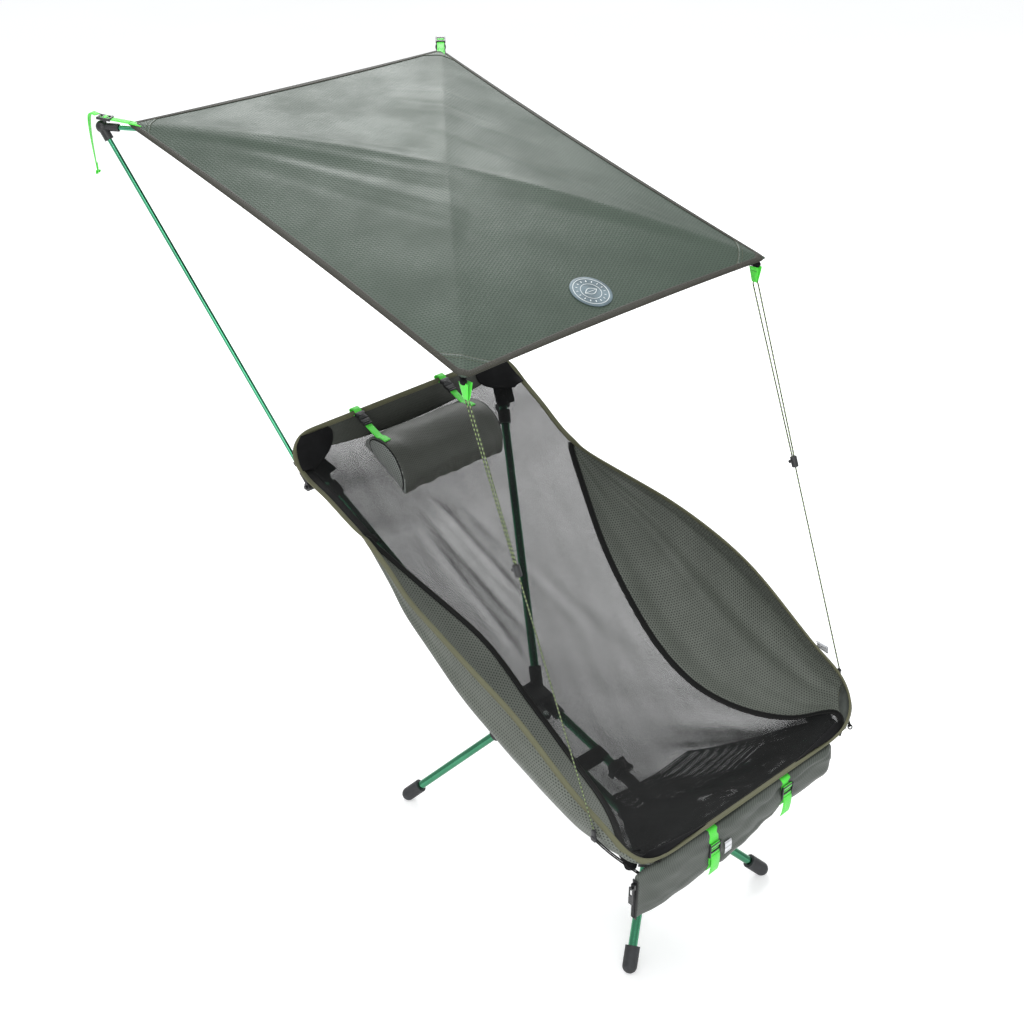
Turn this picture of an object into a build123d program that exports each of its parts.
"""Ultralight backpacking chair: a high-back sling on a two-hub pole frame, with a tilting sun canopy.

Millimetres. x runs across the chair, +x to the sitter's left; the sitter faces -y; +z is up.
Places are given from the middle of the four feet on the ground, and at() moves them to the
object's own origin, the bottom centre of its bounding box.
"""
import os

from build123d import *

os.makedirs("parts", exist_ok=True)

# ---------------------------------------------------------------- driving dimensions
MIDDLE = 220.2  # the box's middle lies this far behind the middle of the feet
SIDES = {"left": 1, "right": -1}  # as the sitter sees them

TUBE_R = 8.0  # main frame tube, 16 mm outside
TUBE_WALL = 1.2
ROD_R = 4.0  # canopy tube, 8 mm outside
ROD_WALL = 0.9
FIT = 0.05  # radial clearance of a running fit
SOCKET_R = 12.0
SOCKET_REACH = 38.0  # how far a hub socket reaches from the tube's inner end

SPINE_X = 30.0  # half the distance between the two spine tubes
SPINE_REAR = (134.0, 224.0)  # y, z of the spine tubes' rear ends
SPINE_FRONT = (-168.0, 157.0)
REAR_FOOT = (183.0, 297.6, 12.0)
FRONT_FOOT = (173.6, -297.6, 12.0)
FOOT_R = 13.0
FOOT_LENGTH = 34.0
BACK_POLE = ((34.0, 165.0, 243.0), (224.0, 480.0, 697.0))
FRONT_ARM = ((44.0, -186.0, 172.0), (249.0, -354.0, 346.0))
REAR_LEG_TOP = (53.0, 150.0, 202.0)
FRONT_LEG_TOP = (48.0, -212.0, 150.0)

FABRIC = 1.5
BINDING_R = 3.0
BINDING_OFF = 5.5  # from the fabric's edge to the middle of its binding

PIVOT = (234.0, 481.0, 654.0)  # canopy hinge, where the canopy poles meet their brackets
ELBOW = (370.0, 818.0, 1262.0)
CANOPY_REAR = (341.5, 782.0, 1267.0)
CANOPY_FRONT = (325.0, -61.0, 1101.0)
CANOPY_TOP = (0.0, 368.0, 1226.0)  # where the two ridge poles cross

GUY_HOOK = (301.0, -322.0, 425.0)
GUY_TOP = (312.0, -52.0, 1064.5)
GUY_R = 1.25
GUY_LOCK = {"left": 0.535, "right": 0.605}  # how far up each guy line its cord lock sits

PILLOW_X = (-128.0, 120.0)
PILLOW_LOW = (350.0, 638.5)  # y, z of the pillow's back edge, low and high
PILLOW_HIGH = (477.0, 698.0)
PILLOW_THICK = 62.0
PILLOW_STRAPS = (-112.0, 88.0)

BAG_X = (-272.0, 200.0)
BAG_Y = (-405.0, -372.0)
BAG_Z = (262.0, 354.0)
BAG_STRAPS = (-105.0, 75.0)


# ---------------------------------------------------------------- helpers
def at(x, y, z):
    return Vector(x, y - MIDDLE, z)


def on_side(point, s):
    """A place given for the left side, moved to side s."""
    x, y, z = point
    return at(s * x, y, z)


def between(a, b, share):
    return a + (b - a) * share


def beyond(start, end, distance):
    """The point that lies a distance from start towards end."""
    return start + (end - start).normalized() * distance


def rod(start, end, radius, mode=Mode.ADD):
    """A round bar between two points, in the sub-part being built."""
    with Locations(Plane(origin=start, z_dir=end - start)):
        Cylinder(radius, (end - start).length, align=(Align.CENTER, Align.CENTER, Align.MIN), mode=mode)


def plate(start, end, width, thick, face, mode=Mode.ADD):
    """A flat strip from start to end; face is the way its broad side looks."""
    along = (end - start).normalized()
    across = along.cross(Vector(*face)).normalized()
    with Locations(Plane(origin=start, x_dir=across, z_dir=along)):
        Box(width, thick, (end - start).length, align=(Align.CENTER, Align.CENTER, Align.MIN), mode=mode)


def save(piece, name):
    piece.part.label = name
    export_step(piece.part, f"parts/{name}.step")


def spine_at(y, x=SPINE_X):
    """A point on a spine tube's axis."""
    share = (y - SPINE_REAR[0]) / (SPINE_FRONT[0] - SPINE_REAR[0])
    return at(x, y, SPINE_REAR[1] + share * (SPINE_FRONT[1] - SPINE_REAR[1]))


# ---------------------------------------------------------------- frame: tubes
def tube_ends(side):
    """Inner and outer end of each main tube on one side."""
    s = SIDES[side]
    return {
        "spine_tube": (spine_at(SPINE_REAR[0], s * SPINE_X), spine_at(SPINE_FRONT[0], s * SPINE_X)),
        "back_pole": (on_side(BACK_POLE[0], s), on_side(BACK_POLE[1], s)),
        "front_arm": (on_side(FRONT_ARM[0], s), on_side(FRONT_ARM[1], s)),
        "rear_leg": (on_side(REAR_LEG_TOP, s), on_side(REAR_FOOT, s)),
        "front_leg": (on_side(FRONT_LEG_TOP, s), on_side(FRONT_FOOT, s)),
    }


def hollow_tube(inner, outer):
    rod(inner, outer, TUBE_R)
    rod(inner, outer, TUBE_R - TUBE_WALL, Mode.SUBTRACT)


for side in SIDES:
    for kind in ("back_pole", "rear_leg", "front_leg"):
        with BuildPart() as tube:
            hollow_tube(*tube_ends(side)[kind])
        save(tube, f"{kind}_{side}")

for kind in ("spine_tube", "front_arm"):
    with BuildPart() as tube_pair:
        for side in SIDES:
            hollow_tube(*tube_ends(side)[kind])
    save(tube_pair, f"{kind}s")


# ---------------------------------------------------------------- frame: rubber feet
for side in SIDES:
    for kind in ("rear", "front"):
        top, foot = tube_ends(side)[f"{kind}_leg"]
        cap_top = beyond(foot, top, FOOT_LENGTH)
        with BuildPart() as foot_cap:
            rod(cap_top, foot, FOOT_R)
            with Locations(foot):
                Sphere(FOOT_R)
            rod(cap_top, foot, TUBE_R, Mode.SUBTRACT)
            split(bisect_by=Plane.XY, keep=Keep.TOP)
        save(foot_cap, f"{kind}_foot_cap_{side}")


# ---------------------------------------------------------------- frame: moulded hubs
SPINE_AXIS = (spine_at(SPINE_FRONT[0]) - spine_at(SPINE_REAR[0])).normalized()
SPINE_UP = Vector(1, 0, 0).cross(SPINE_AXIS) * -1  # square to the spine, upwards


def hub(middle, size, kinds, spine_from):
    """A hub: a rounded core with a socket round each tube that enters it."""
    holes = []
    for side in SIDES:
        ends = tube_ends(side)
        holes += [ends[kind] for kind in kinds]
        holes.append(ends["spine_tube"][::spine_from])
    with BuildPart() as body:
        with Locations(Plane(origin=middle, x_dir=(1, 0, 0), z_dir=SPINE_UP)):
            Box(*size)
        fillet(body.edges(), 7)
        for inner, outer in holes:
            rod(beyond(inner, outer, -12), beyond(inner, outer, SOCKET_REACH), SOCKET_R)
        for inner, outer in holes:
            rod(inner, beyond(inner, outer, SOCKET_REACH + 10), TUBE_R + FIT, Mode.SUBTRACT)
    return body


rear_hub = hub(at(0, 155, 227), (88, 54, 40), ("back_pole", "rear_leg"), 1)
save(rear_hub, "rear_hub")
front_hub = hub(at(0, -184, 155), (96, 62, 40), ("front_arm", "front_leg"), -1)
save(front_hub, "front_hub")


# ---------------------------------------------------------------- spine: sleeve, lever clamp, strap
SLEEVE_R = 11.5
CLAMP_R = 13.5
CLAMP_Y = (-46.0, -74.0)
PIN_R = 2.5
PIN_OFF = (19.0, 4.0)  # the lever's pin, sideways and upwards of the tube's axis
LEVER_WIDTH = 12.0

clamp_rear = spine_at(CLAMP_Y[0])
clamp_front = spine_at(CLAMP_Y[1])
clamp_middle = between(clamp_rear, clamp_front, 0.5)
pin_shift = Vector(PIN_OFF[0], 0, 0) + SPINE_UP * PIN_OFF[1]


def clamp_plane(distance):
    """A plane square to the spine tube, x inwards and y up, a distance in front of the clamp's middle."""
    return Plane(origin=clamp_middle + SPINE_AXIS * distance, x_dir=(-1, 0, 0), z_dir=SPINE_AXIS * -1)


with BuildPart() as spine_sleeve:
    rod(clamp_front + SPINE_AXIS, spine_at(-129), SLEEVE_R)
    rod(clamp_front + SPINE_AXIS, spine_at(-129), TUBE_R + FIT, Mode.SUBTRACT)
save(spine_sleeve, "spine_sleeve")

with BuildPart() as spine_clamp:
    rod(clamp_rear, clamp_front, CLAMP_R)
    for end, sign in ((clamp_rear, 1), (clamp_front, -1)):
        ear_end = end + SPINE_AXIS * (7 * sign)
        rod(end + pin_shift, ear_end + pin_shift, 6.5)
        plate(end + pin_shift * 0.6, ear_end + pin_shift * 0.6, 12, 11, SPINE_UP)
    rod(clamp_rear, clamp_front, TUBE_R + FIT, Mode.SUBTRACT)
    rod(clamp_rear + pin_shift, clamp_front + pin_shift, PIN_R, Mode.SUBTRACT)
save(spine_clamp, "spine_clamp")

with BuildPart() as lever_pin:
    rod(clamp_rear + pin_shift, clamp_front + pin_shift, PIN_R)
save(lever_pin, "lever_pin")

with BuildPart() as spine_lever:
    with BuildSketch(clamp_plane(LEVER_WIDTH / 2)) as arm:
        Circle(CLAMP_R + 5.5)
        Circle(CLAMP_R + 1.2, mode=Mode.SUBTRACT)
        with Locations((0, -30 + PIN_OFF[1])):
            Rectangle(60, 60, mode=Mode.SUBTRACT)
        with Locations((-PIN_OFF[0], PIN_OFF[1])):
            Circle(5.2)
        with Locations((CLAMP_R + 3.4, PIN_OFF[1] - 6)):
            RectangleRounded(4.4, 16, 2)
    extrude(amount=LEVER_WIDTH)
    half = SPINE_AXIS * LEVER_WIDTH
    rod(clamp_middle + pin_shift - half, clamp_middle + pin_shift + half, PIN_R + FIT, Mode.SUBTRACT)
save(spine_lever, "spine_lever")

STRAP_WIDTH = 26.0
STRAP_THICK = 1.6
strap_rear = spine_at(-1)
with BuildPart() as spine_strap:
    strap_start = at(0, -1, strap_rear.Z)
    with BuildSketch(Plane(origin=strap_start, x_dir=(1, 0, 0), z_dir=SPINE_AXIS)):
        SlotCenterToCenter(2 * SPINE_X, 2 * (TUBE_R + 0.3 + STRAP_THICK))
        SlotCenterToCenter(2 * SPINE_X, 2 * (TUBE_R + 0.3), mode=Mode.SUBTRACT)
    extrude(amount=STRAP_WIDTH)
save(spine_strap, "spine_strap")


# ---------------------------------------------------------------- sling: its sections across the chair
# One row per station, front to back: y; rim x, z; seam x, z; middle z.  The seam joins the side
# panel to the mesh; behind the last panel station the mesh reaches the rim.
SLING = [
    (-389, 243, 365, 222, 361, 361),
    (-378, 272, 385, 246, 368, 357),
    (-362, 281, 401, 258, 372, 352),
    (-342, 287, 421, 254, 368, 345),
    (-310, 289, 437, 230, 348, 333),
    (-279, 291, 447, 207, 340, 324),
    (-217, 293, 482, 175, 338, 320),
    (-135, 295, 529, 155, 346, 330),
    (-66, 297, 553, 148, 375, 358),
    (0, 295, 571, 150, 413, 396),
    (79, 289, 589, 158, 478, 460),
    (147, 281, 599, 179, 520, 502),
    (208, 266, 614, 205, 562, 540),
    (262, 256, 625, 228, 601, 574),
    (300, 251, 636, 245, 628, 600),
]
BACK = [  # y; rim x, z; middle z
    (300, 251, 636, 600),
    (345, 253, 653, 622),
    (400, 258, 680, 647),
    (440, 263, 694, 662),
    (470, 263, 711, 678),
    (487, 260, 728, 700),
    (498, 235, 752, 752),
]
BAND_FROM = 487  # the back's solid band starts at this station


def bulge(rim, seam):
    """Points of a side panel's section, rim to seam: it bellies outwards under the rim."""
    (rx, rz), (sx, sz) = rim, seam
    wide, high = rx - sx, rz - sz
    return [
        (rx, rz),
        (rx + 0.08 * high, rz - 0.28 * high),
        (rx - 0.12 * wide, rz - 0.62 * high),
        (rx - 0.48 * wide, rz - 0.90 * high),
        (sx, sz),
    ]


def section(y, points, thick=FABRIC):
    """A ribbon's section at y: points (x, z) along its upper face, and the same set lower."""
    count = len(points)
    lower = []
    for i, (x, z) in enumerate(points):
        x0, z0 = points[max(i - 1, 0)]
        x1, z1 = points[min(i + 1, count - 1)]
        along = Vector(x1 - x0, 0, z1 - z0).normalized()
        lower.append((x + along.Z * thick, z - along.X * thick))
    outline = [at(x, y, z) for x, z in points + lower[::-1]]
    return Face(Wire.make_polygon(outline, close=True))


def mesh_points(half, edge_z, middle_z):
    """The mesh's section from right to left: a shallow sag between its two edges."""
    shares = (-1, -0.55, 0, 0.55, 1)
    return [(half * k, middle_z + (edge_z - middle_z) * k * k) for k in shares]


SEAM_GAP = 0.2  # the sewn pieces lie edge to edge


def strip(sections):
    with BuildPart() as piece:
        loft(sections=sections, ruled=True)
    return piece


seat = [section(y, mesh_points(sx - SEAM_GAP, sz, mz)) for y, rx, rz, sx, sz, mz in SLING]
seat += [section(y, mesh_points(rx - SEAM_GAP, rz, mz)) for y, rx, rz, mz in BACK[1:] if y <= BAND_FROM]
sling_mesh = strip(seat)
save(sling_mesh, "sling_mesh")

band = [section(y, mesh_points(rx - SEAM_GAP, rz, mz)) for y, rx, rz, mz in BACK if y >= BAND_FROM]
back_band = strip(band)
save(back_band, "back_band")

for side, s in SIDES.items():
    rows = []
    for y, rx, rz, sx, sz, mz in SLING:
        points = [(s * x, z) for x, z in bulge((rx, rz), (sx, sz))]
        rows.append(section(y, points if s < 0 else points[::-1]))
    side_panel = strip(rows)
    save(side_panel, f"side_panel_{side}")


# ---------------------------------------------------------------- sling: edge binding
RIM_SIDE = [(y, rx, rz) for y, rx, rz, sx, sz, mz in SLING] + [(y, rx, rz) for y, rx, rz, mz in BACK[1:]]
rim = [(rx + BINDING_OFF, y, rz + 1) for y, rx, rz in RIM_SIDE[1:-1]]
front_corner = [(243, -390 - BINDING_OFF, 360), (268, -391, 372)]
back_corner = [(256, 500, 746), (235, 498 + BINDING_OFF, 756)]
half_rim = front_corner + rim[:-1] + [(263.5, 491, 730)] + back_corner
loop = [at(x, y, z) for x, y, z in half_rim] + [at(-x, y, z) for x, y, z in half_rim[::-1]]
with BuildPart() as edge_binding:
    for here, ahead in zip(loop, loop[1:] + loop[:1]):
        rod(here, ahead, BINDING_R)
        with Locations(here):
            Sphere(BINDING_R + 0.2)
save(edge_binding, "edge_binding")


# ---------------------------------------------------------------- sling: corner pockets, care tag
POCKET_R = 10.5
POCKET_LENGTH = 39.0
for kind, name in (("front_arm", "front_pockets"), ("back_pole", "top_pockets")):
    with BuildPart() as pockets:
        for side in SIDES:
            inner, outer = tube_ends(side)[kind]
            rod(beyond(outer, inner, POCKET_LENGTH), beyond(outer, inner, -3), POCKET_R)
        fillet(pockets.edges(), 3)
        for side in SIDES:
            rod(*tube_ends(side)[kind], TUBE_R, Mode.SUBTRACT)
    save(pockets, name)

with BuildPart() as care_tag:
    plate(at(300.3, -281, 456), at(306, -281, 438), 22, 0.6, (1, 0, 0.35))
save(care_tag, "care_tag")


# ---------------------------------------------------------------- canopy: brackets and poles
BRACKET_AT = 525.0  # along the back pole from its inner end
KNUCKLE_X = (217.0, 226.0)
PIVOT_BLOCK_X = (226.5, 242.0)
HINGE_R = 3.5
SOCKET_DROP = Vector(0, 0, 6)  # the ridge poles start this far under the canopy's corners
CROSSING_DROP = {"left": 6.2, "right": 15.2}  # one ridge pole passes under the other
TIP_INSET = (-8, 9, -9.5)


def canopy_places(side):
    """Pivot, elbow, the way up the canopy pole, and the way from the elbow along the ridge pole."""
    s = SIDES[side]
    pivot, elbow = on_side(PIVOT, s), on_side(ELBOW, s)
    up = (elbow - pivot).normalized()
    inwards = (on_side(CANOPY_REAR, s) - SOCKET_DROP - elbow).normalized()
    return pivot, elbow, up, inwards


def across(side, pivot, x):
    """The point on the canopy's hinge axis at x, on one side."""
    return Vector(SIDES[side] * x, pivot.Y, pivot.Z)


with BuildPart() as canopy_brackets:
    for side in SIDES:
        pole = tube_ends(side)["back_pole"]
        pivot = canopy_places(side)[0]
        knuckle = [across(side, pivot, x) for x in KNUCKLE_X]
        rod(beyond(*pole, BRACKET_AT - 13), beyond(*pole, BRACKET_AT + 13), 12)
        rod(beyond(*pole, BRACKET_AT), knuckle[0], 6)
        rod(*knuckle, 7.5)
        rod(beyond(*pole, BRACKET_AT - 20), beyond(*pole, BRACKET_AT + 20), TUBE_R, Mode.SUBTRACT)
        rod(knuckle[1], across(side, pivot, PIVOT_BLOCK_X[1] + 4), HINGE_R)
save(canopy_brackets, "canopy_brackets")

with BuildPart() as canopy_pivots:
    for side in SIDES:
        pivot, elbow, up, inwards = canopy_places(side)
        block = [across(side, pivot, x) for x in PIVOT_BLOCK_X]
        rod(*block, 8)
        rod(pivot, pivot + up * 30, 6.2)
        rod(pivot + up * 9, pivot + up * 40, ROD_R, Mode.SUBTRACT)
        rod(*block, HINGE_R + FIT, Mode.SUBTRACT)
save(canopy_pivots, "canopy_pivots")

with BuildPart() as canopy_poles:
    for side in SIDES:
        pivot, elbow, up, inwards = canopy_places(side)
        rod(pivot + up * 9, elbow - up * 6, ROD_R)
        rod(pivot + up * 9, elbow - up * 6, ROD_R - ROD_WALL, Mode.SUBTRACT)
save(canopy_poles, "canopy_poles")

with BuildPart() as pole_collars:
    for side in SIDES:
        pivot, elbow, up, inwards = canopy_places(side)
        rod(pivot + up * 44, pivot + up * 52, 6.5)
        rod(pivot + up * 44, pivot + up * 52, ROD_R, Mode.SUBTRACT)
save(pole_collars, "pole_collars")

# each elbow turns the line from the canopy pole into the ridge pole under the canopy's corner
with BuildPart() as elbows:
    for side in SIDES:
        pivot, elbow, up, inwards = canopy_places(side)
        rod(elbow - up * 24, elbow + up * 4, 8)
        with Locations(elbow):
            Sphere(10.5)
        rod(elbow, elbow + inwards * 30, 6.8)
        rod(elbow - up * 6, elbow - up * 40, ROD_R, Mode.SUBTRACT)
        rod(elbow + inwards * 9.5, elbow + inwards * 40, ROD_R + 1.5, Mode.SUBTRACT)
save(elbows, "elbows")


def ridge_line(side):
    """A ridge pole bows from its elbow up to the crossing and down to the far front corner."""
    pivot, elbow, up, inwards = canopy_places(side)
    corner = [c + d for c, d in zip(CANOPY_FRONT, TIP_INSET)]
    top = at(*CANOPY_TOP) - Vector(0, 0, CROSSING_DROP[side])
    return elbow + inwards * 10, top, on_side(corner, -SIDES[side])


with BuildPart() as ridge_poles:
    for side in SIDES:
        with BuildLine() as bow:
            ThreePointArc(*ridge_line(side))
        with BuildSketch(Plane(origin=bow.line @ 0, z_dir=bow.line % 0)):
            Circle(ROD_R)
            Circle(ROD_R - ROD_WALL, mode=Mode.SUBTRACT)
        sweep(path=bow.wires()[0])
save(ridge_poles, "ridge_poles")

with BuildPart() as canopy_tips:
    for side in SIDES:
        start, top, tip = ridge_line(side)
        with BuildLine(mode=Mode.PRIVATE) as bow:
            ThreePointArc(start, top, tip)
        heading = (bow.line % 1).normalized()
        rod(tip - heading * 30, tip + heading * 4, 5.5)
        rod(tip - heading * 40, tip, ROD_R + 0.3, Mode.SUBTRACT)
save(canopy_tips, "canopy_tips")


# ---------------------------------------------------------------- canopy: sheet and hem
BOW = 44.0  # the crossing's height over the flat sheet
HEM_FROM = 0.965  # the hem is the outer edge ring, as a share from the middle
CANOPY_RINGS = (0.965, 0.8, 0.6, 0.4, 0.22, 0.06)


def canopy_point(u, v):
    """A place on the canopy: u across and v back, each -1 to 1; it bows along both diagonals."""
    half = (CANOPY_FRONT[0] + CANOPY_REAR[0]) / 2 + v * (CANOPY_REAR[0] - CANOPY_FRONT[0]) / 2
    y = (CANOPY_FRONT[1] + CANOPY_REAR[1]) / 2 + v * (CANOPY_REAR[1] - CANOPY_FRONT[1]) / 2
    z = (CANOPY_FRONT[2] + CANOPY_REAR[2]) / 2 + v * (CANOPY_REAR[2] - CANOPY_FRONT[2]) / 2
    reach = max(abs(u), abs(v))
    return at(u * half, y, z + BOW * (1 - reach * reach))


CORNERS = ((-1, -1), (1, -1), (1, 1), (-1, 1))


def facet(rings, first, second, thick, drop=0.0):
    """One of the four facets, from ring to ring towards the middle."""
    sections = []
    for ring in rings:
        a = canopy_point(first[0] * ring, first[1] * ring) - Vector(0, 0, drop)
        b = canopy_point(second[0] * ring, second[1] * ring) - Vector(0, 0, drop)
        lift = Vector(0, 0, thick)
        sections.append(Face(Wire.make_polygon([a, b, b + lift, a + lift], close=True)))
    loft(sections=sections, ruled=True)


with BuildPart() as canopy_sheet:
    for first, second in zip(CORNERS, CORNERS[1:] + CORNERS[:1]):
        facet(CANOPY_RINGS, first, second, FABRIC)
    middle = [canopy_point(u * CANOPY_RINGS[-1], v * CANOPY_RINGS[-1]) for u, v in CORNERS]
    lift = Vector(0, 0, FABRIC)
    faces = [Face(Wire.make_polygon([p + lift * k for p in middle], close=True)) for k in (0, 1)]
    loft(sections=faces, ruled=True)
save(canopy_sheet, "canopy_sheet")

with BuildPart() as canopy_hem:
    for first, second in zip(CORNERS, CORNERS[1:] + CORNERS[:1]):
        facet((1.0, HEM_FROM), first, second, FABRIC + 1, 0.2)
save(canopy_hem, "canopy_hem")

PATCH_R = 35.0
PATCH_UV = (-0.045, -0.862)
patch_middle = canopy_point(*PATCH_UV)
patch_slope = canopy_point(PATCH_UV[0], PATCH_UV[1] + 0.06) - canopy_point(PATCH_UV[0], PATCH_UV[1] - 0.06)
patch_up = Vector(1, 0, 0).cross(patch_slope).normalized()
with BuildPart() as canopy_patch:
    patch_base = patch_middle + patch_up * (FABRIC + 0.6)
    rod(patch_base, patch_base + patch_up * 0.8, PATCH_R)
save(canopy_patch, "canopy_patch")


# ---------------------------------------------------------------- canopy: tensioning straps, guy tabs
TAB_GAP = 1.5  # the guy line's loop stays this far under its tab while the canopy tilts
BUCKLE_RISE = (-4, -5, 15.5)  # from the elbow to the middle of its buckle
STRAP_INSET = (-3, -3, 4.5)  # from the canopy's corner to the strap's end


def strap_places(side):
    """The buckle's middle over the elbow, and the strap's end at the canopy's corner."""
    s = SIDES[side]
    buckle = [c + d for c, d in zip(ELBOW, BUCKLE_RISE)]
    end = [c + d for c, d in zip(CANOPY_REAR, STRAP_INSET)]
    return on_side(buckle, s), on_side(end, s)


with BuildPart() as canopy_buckles:
    for side in SIDES:
        seat_point, strap_end = strap_places(side)
        plate(beyond(seat_point, strap_end, -11), beyond(seat_point, strap_end, 13), 19, 6, (0, 0, 1))
    fillet(canopy_buckles.edges(), 1.5)
save(canopy_buckles, "canopy_buckles")

with BuildPart() as canopy_straps:
    for side in SIDES:
        seat_point, strap_end = strap_places(side)
        plate(beyond(seat_point, strap_end, 13), strap_end, 14, 1.4, (0, 0, 1))
save(canopy_straps, "canopy_straps")

TAB_TOP_Z = 1084.5
with BuildPart() as guy_tabs:
    for side, s in SIDES.items():
        foot = on_side(GUY_TOP, s) + Vector(0, 0, GUY_R + TAB_GAP)
        high = TAB_TOP_Z - foot.Z
        with BuildSketch(Plane(origin=foot, x_dir=(0, 1, 0), z_dir=(1, 0, 0))):
            with BuildLine():
                Polyline((-5, 0), (5, 0), (11, high), (-9, high), close=True)
            make_face()
        extrude(amount=1, both=True)
save(guy_tabs, "guy_tabs")

# the strap's loose tail hangs behind the sitter's right elbow
TAIL = [
    (-371.5, 826, 1281),
    (-373.5, 842, 1281),
    (-374.5, 851, 1268),
    (-374.5, 853, 1234),
    (-373.5, 850, 1178),
]
with BuildPart() as strap_tail:
    for a, b in zip(TAIL, TAIL[1:]):
        plate(at(*a), at(*b), 12, 1.2, (0, 0.8, 0.6))
save(strap_tail, "strap_tail")


# ---------------------------------------------------------------- guy lines, locks and hooks
LOCK_LENGTH = 19.0
LOOP_HALF = (2.2, 5.5)  # half the gap between the doubled strands, at the lock and at the tab
for side, s in SIDES.items():
    hook_end = on_side(GUY_HOOK, s)
    top = on_side(GUY_TOP, s)
    line = (top - hook_end).normalized()
    lock_low = between(hook_end, top, GUY_LOCK[side])
    lock_high = lock_low + line * LOCK_LENGTH

    with BuildPart() as guy_line:
        rod(hook_end, lock_low - line * 0.4, GUY_R)
    save(guy_line, f"guy_line_{side}")

    with BuildPart() as cord_lock:
        rod(lock_low, lock_high, 5.8)
        fillet(cord_lock.edges(), 1.6)
        rod(between(lock_low, lock_high, 0.5), between(lock_low, lock_high, 0.5) + Vector(0, 10, -4), 3)
    save(cord_lock, f"cord_lock_{side}")

    spread = line.cross(Vector(s, 0, 0)).normalized()
    lock_exit = lock_high + line * 0.2
    route = [
        lock_exit - spread * LOOP_HALF[0],
        top - spread * LOOP_HALF[1],
        top + spread * LOOP_HALF[1],
        lock_exit + spread * LOOP_HALF[0],
    ]
    with BuildPart() as guy_loop:
        with BuildLine() as path:
            FilletPolyline(*route, radius=LOOP_HALF[1] * 0.85)
        with BuildSketch(Plane(origin=path.line @ 0, z_dir=path.line % 0)):
            Circle(GUY_R)
        sweep()
    save(guy_loop, f"guy_loop_{side}")
    loop_length = sum(edge.length for edge in path.edges())
    print(f"guy_loop_{side}", round(loop_length), "mm, bends of", LOOP_HALF[1] * 0.85, "mm")

# a hook at the rim takes each guy line, and a cord loop ties the hook to the front corner
HOOK_BASE = (300.5, -323, 404)
with BuildPart() as guy_hooks:
    for side, s in SIDES.items():
        plate(on_side(HOOK_BASE, s), on_side(GUY_HOOK, s) - Vector(0, 0, 0.5), 12, 5, (1, 0, 0))
    fillet(guy_hooks.edges(), 1.5)
    for side, s in SIDES.items():
        rod(on_side(HOOK_BASE, s) - Vector(0, 0, 2), on_side((291, -386, 372), s), 1.5)
save(guy_hooks, "guy_hooks")


# ---------------------------------------------------------------- pillow and its straps
TOP_EDGE = (498 + BINDING_OFF, 756.0)  # y, z of the binding that the straps hang on
PILLOW_SLOPE = (at(0, *PILLOW_LOW) - at(0, *PILLOW_HIGH)).normalized()
PILLOW_UP = PILLOW_SLOPE.cross(Vector(1, 0, 0))
HANG_R = BINDING_R + 0.8
buckle_top = at(0, 490, 755.5)
male_top = buckle_top + PILLOW_SLOPE * 17
male_end = male_top + PILLOW_SLOPE * 15

with BuildPart() as hanger_loops:
    for x in PILLOW_STRAPS:
        with BuildSketch(Plane(origin=at(x - 7.5, *TOP_EDGE), x_dir=(0, 1, 0), z_dir=(1, 0, 0))):
            Circle(HANG_R + 1.4)
            Circle(HANG_R, mode=Mode.SUBTRACT)
        extrude(amount=15)
        plate(at(x, 499.7, 758.6), buckle_top + Vector(x, 0, 0), 15, 1.4, PILLOW_UP)
save(hanger_loops, "hanger_loops")

with BuildPart() as hanger_buckles:
    for x in PILLOW_STRAPS:
        shift = Vector(x, 0, 0)
        plate(buckle_top + shift, male_top + shift, 20, 7, PILLOW_UP)
        plate(buckle_top + shift + PILLOW_SLOPE * 5, male_top + shift, 16.4, 3.6, PILLOW_UP, Mode.SUBTRACT)
save(hanger_buckles, "hanger_buckles")

with BuildPart() as pillow_clips:
    for x in PILLOW_STRAPS:
        shift = Vector(x, 0, 0)
        plate(male_top + shift + PILLOW_SLOPE * 0.4, male_end + shift, 19, 6.6, PILLOW_UP)
        root = male_top + shift + PILLOW_SLOPE * 0.4
        plate(root - PILLOW_SLOPE * 11.4, root, 15.6, 3, PILLOW_UP)
save(pillow_clips, "pillow_clips")

pillow_length = (at(0, *PILLOW_LOW) - at(0, *PILLOW_HIGH)).length
with BuildPart() as pillow:
    end_plane = Plane(origin=at(PILLOW_X[0], *PILLOW_HIGH), x_dir=PILLOW_SLOPE, z_dir=(-1, 0, 0))
    with BuildSketch(end_plane):
        with BuildLine():
            flat = Line((0, 0), (pillow_length, 0))
            ThreePointArc(flat @ 0, (pillow_length / 2, PILLOW_THICK), flat @ 1)
        make_face()
    extrude(amount=PILLOW_X[0] - PILLOW_X[1])
save(pillow, "pillow")

tab_foot = at(0, *PILLOW_HIGH) + PILLOW_SLOPE * 27 + PILLOW_UP * 49
with BuildPart() as pillow_tabs:
    for x in PILLOW_STRAPS:
        shift = Vector(x, 0, 0)
        plate(male_end + shift + PILLOW_SLOPE * 0.3, tab_foot + shift, 14, 1.4, PILLOW_UP)
save(pillow_tabs, "pillow_tabs")


# ---------------------------------------------------------------- carry bag under the front edge
bag_middle = at((BAG_X[0] + BAG_X[1]) / 2, (BAG_Y[0] + BAG_Y[1]) / 2, (BAG_Z[0] + BAG_Z[1]) / 2)
BAG_SIZE = (BAG_X[1] - BAG_X[0], BAG_Y[1] - BAG_Y[0], BAG_Z[1] - BAG_Z[0])
BAG_ROUND = 12.0
with BuildPart() as carry_bag:
    with Locations(bag_middle):
        Box(*BAG_SIZE)
    fillet(carry_bag.edges().filter_by(Axis.X), BAG_ROUND)
save(carry_bag, "carry_bag")

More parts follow.
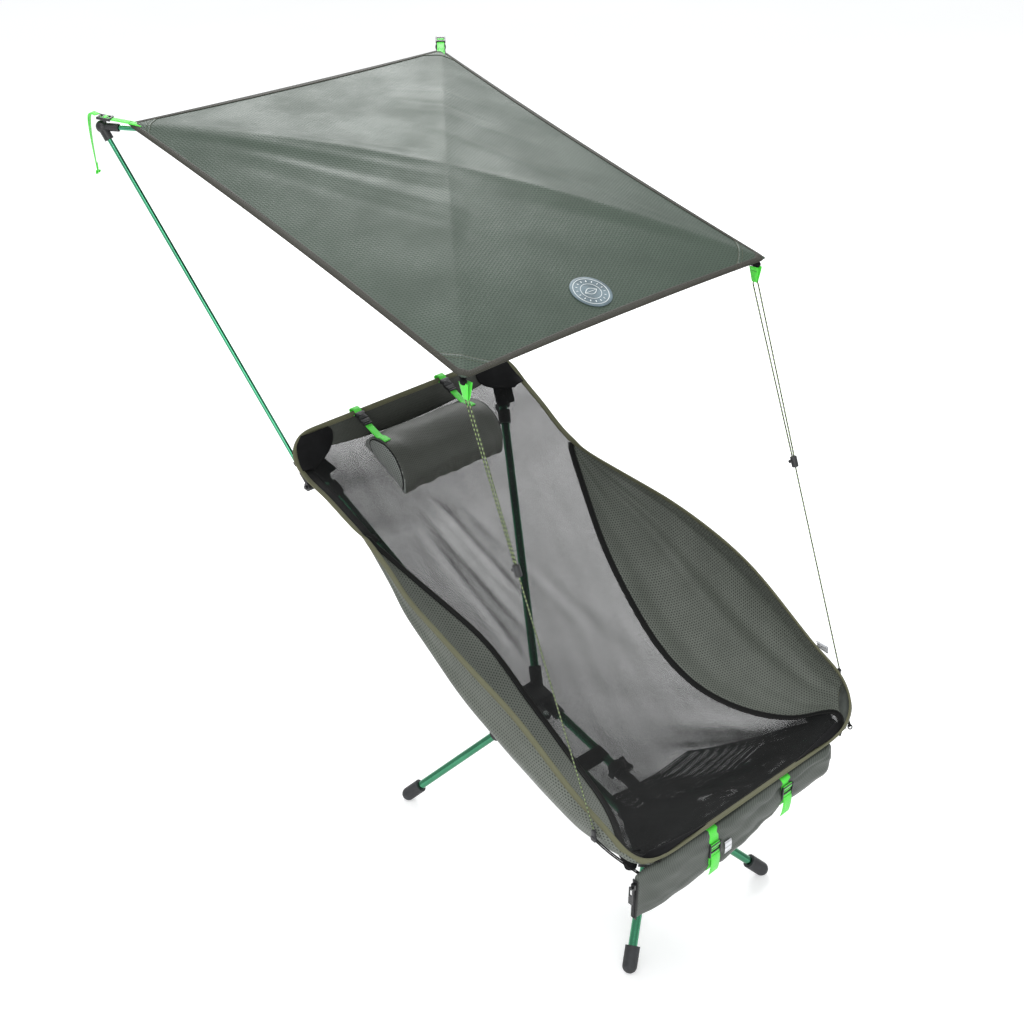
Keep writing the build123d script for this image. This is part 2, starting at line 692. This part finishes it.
STRAP_GAP = 0.3
STRAP_WIDE = 22.0
with BuildPart() as bag_straps:
    for x in BAG_STRAPS:
        edge_of_strap = Vector(x - STRAP_WIDE / 2, bag_middle.Y, bag_middle.Z)
        with BuildSketch(Plane(origin=edge_of_strap, x_dir=(0, 1, 0), z_dir=(1, 0, 0))):
            wide, high = BAG_SIZE[1] + 2 * STRAP_GAP, BAG_SIZE[2] + 2 * STRAP_GAP
            RectangleRounded(wide + 2.4, high + 2.4, BAG_ROUND + 1.2)
            RectangleRounded(wide, high, BAG_ROUND, mode=Mode.SUBTRACT)
        extrude(amount=STRAP_WIDE)
save(bag_straps, "bag_straps")

with BuildPart() as bag_buckles:
    for x in BAG_STRAPS:
        with Locations(at(x, BAG_Y[0] - 5.2, 318)):
            Box(27, 6, 24)
    fillet(bag_buckles.edges(), 1.5)
save(bag_buckles, "bag_buckles")

with BuildPart() as bag_tag:
    with Locations(at(-75, BAG_Y[0] - 0.8, 300)):
        Box(16, 0.6, 24)
save(bag_tag, "bag_tag")

ZIP_X = BAG_X[0]
ZIP_TOP = 338.0
with BuildPart() as bag_zip:
    with Locations(at(ZIP_X - 1, bag_middle.Y + MIDDLE, 308)):
        Box(2, 6, 84)
save(bag_zip, "bag_zip")

with BuildPart() as zip_slider:
    with Locations(at(ZIP_X - 5, bag_middle.Y + MIDDLE, ZIP_TOP)):
        Box(5, 8, 11)
    fillet(zip_slider.edges(), 1)
    eye = at(ZIP_X - 10, bag_middle.Y + MIDDLE, ZIP_TOP)
    with Locations(eye + Vector(1, 0, 0)):
        Box(4, 2.4, 6)
    rod(eye - Vector(0, 6, 0), eye + Vector(0, 6, 0), 1.2, Mode.SUBTRACT)
save(zip_slider, "zip_slider")

with BuildPart() as zip_pull:
    rod(eye - Vector(0, 4, 0), eye + Vector(0, 4, 0), 1.1)
    for sign in (-1, 1):
        with Locations(eye + Vector(0, sign * 3.2, -8)):
            Box(2.2, 1.6, 18)
    with Locations(eye + Vector(0, 0, -24)):
        Box(2.2, 8, 18)
save(zip_pull, "zip_pull")
